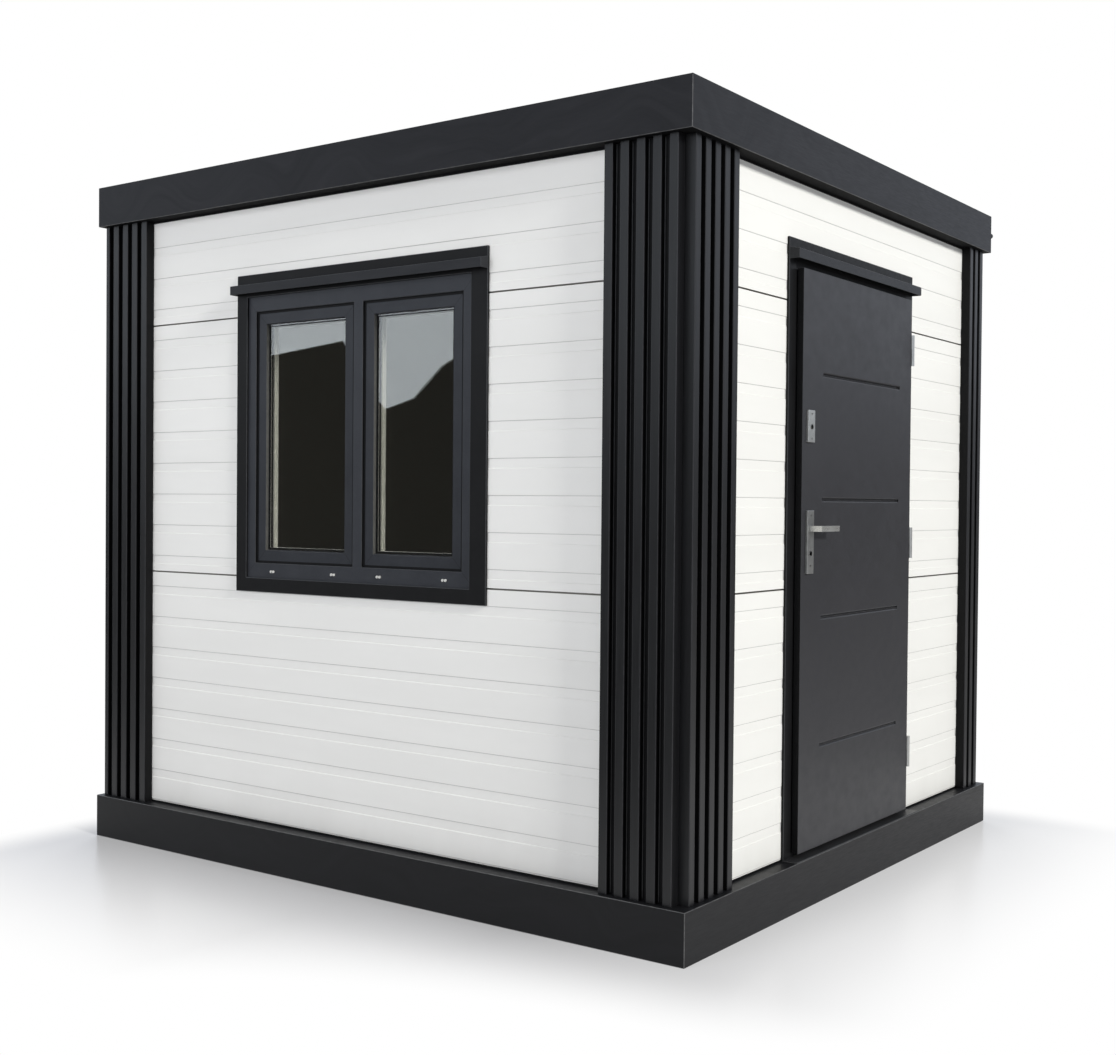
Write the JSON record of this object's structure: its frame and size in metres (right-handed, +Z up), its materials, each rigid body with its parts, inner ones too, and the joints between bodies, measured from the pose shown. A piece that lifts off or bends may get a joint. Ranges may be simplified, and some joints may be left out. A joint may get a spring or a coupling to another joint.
{
  "type": "retail kiosk",
  "caption": "Small flat-roofed kiosk cabin with pale insulated wall panels, dark ribbed corner strips, a two-light window and a hinged steel door with a lever handle.",
  "frame": {"origin": "on the ground under the middle of the plinth", "axes": "+Z up; -Y is the front with the window, +X is the wall with the door"},
  "size_m": [2.894, 2.635, 2.7],
  "materials": {
    "plinth_paint": "satin anthracite powder coat",
    "frame_paint": "satin dark grey paint",
    "panel_paint": "semi-matt white coated steel skin",
    "slat_board": "matt dark ribbed composite board",
    "floor_board": "grey sheet floor on board",
    "roof_metal": "matt coated roof sheet",
    "spout_plastic": "matt black tube",
    "window_metal": "satin anthracite profile",
    "glazing": "clear double glazing",
    "trim_paint": "satin dark folded sheet",
    "door_paint": "satin anthracite steel door skin",
    "fitting_steel": "satin stainless steel"
  },
  "bodies": {
    "cabin": {"plinth_front": "plinth_paint", "plinth_rear": "plinth_paint", "plinth_left": "plinth_paint", "plinth_right": "plinth_paint", "floor_deck": "floor_board", "corner_columns": "frame_paint", "front_wall_lower": "panel_paint", "front_wall_middle": "panel_paint", "front_wall_upper": "panel_paint", "right_wall_lower": "panel_paint", "right_wall_middle": "panel_paint", "right_wall_upper": "panel_paint", "right_wall_over_door": "panel_paint", "rear_wall_lower": "panel_paint", "rear_wall_middle": "panel_paint", "rear_wall_upper": "panel_paint", "left_wall_lower": "panel_paint", "left_wall_middle": "panel_paint", "left_wall_upper": "panel_paint", "front_slats": "slat_board", "right_slats": "slat_board", "rear_slats": "slat_board", "left_slats": "slat_board", "roof_panel": "panel_paint", "roof_sheet": "roof_metal", "fascia_front": "plinth_paint", "fascia_rear": "plinth_paint", "fascia_left": "plinth_paint", "fascia_right": "plinth_paint", "rain_spout": "spout_plastic", "window_frame": "window_metal", "window_sashes": "window_metal", "window_glass": "glazing", "window_surround": "trim_paint", "window_drip_cap": "trim_paint", "door_jambs": "trim_paint", "door_head": "trim_paint", "door_surround": "trim_paint", "door_drip_cap": "trim_paint", "door_sill": "trim_paint", "hinge_frame_halves": "fitting_steel"},
    "door": {"door_leaf": "door_paint", "door_plates": "fitting_steel", "hinge_leaf_halves": "fitting_steel"},
    "lever": {"door_lever": "fitting_steel"}
  },
  "joints": [
    {"name": "door_hinge", "type": "hinge", "parent": "cabin", "child": "door", "pos_m": [1.407, 0.4695, 1.2], "axis": [0, 0, 1], "range_deg": [0, 110]},
    {"name": "lever_turn", "type": "hinge", "parent": "door", "child": "lever", "pos_m": [1.407, -0.446, 1.325], "axis": [-1, 0, 0], "range_deg": [0, 45], "stiffness_Nm_per_rad": 3, "springref_deg": -20.05}
  ]
}
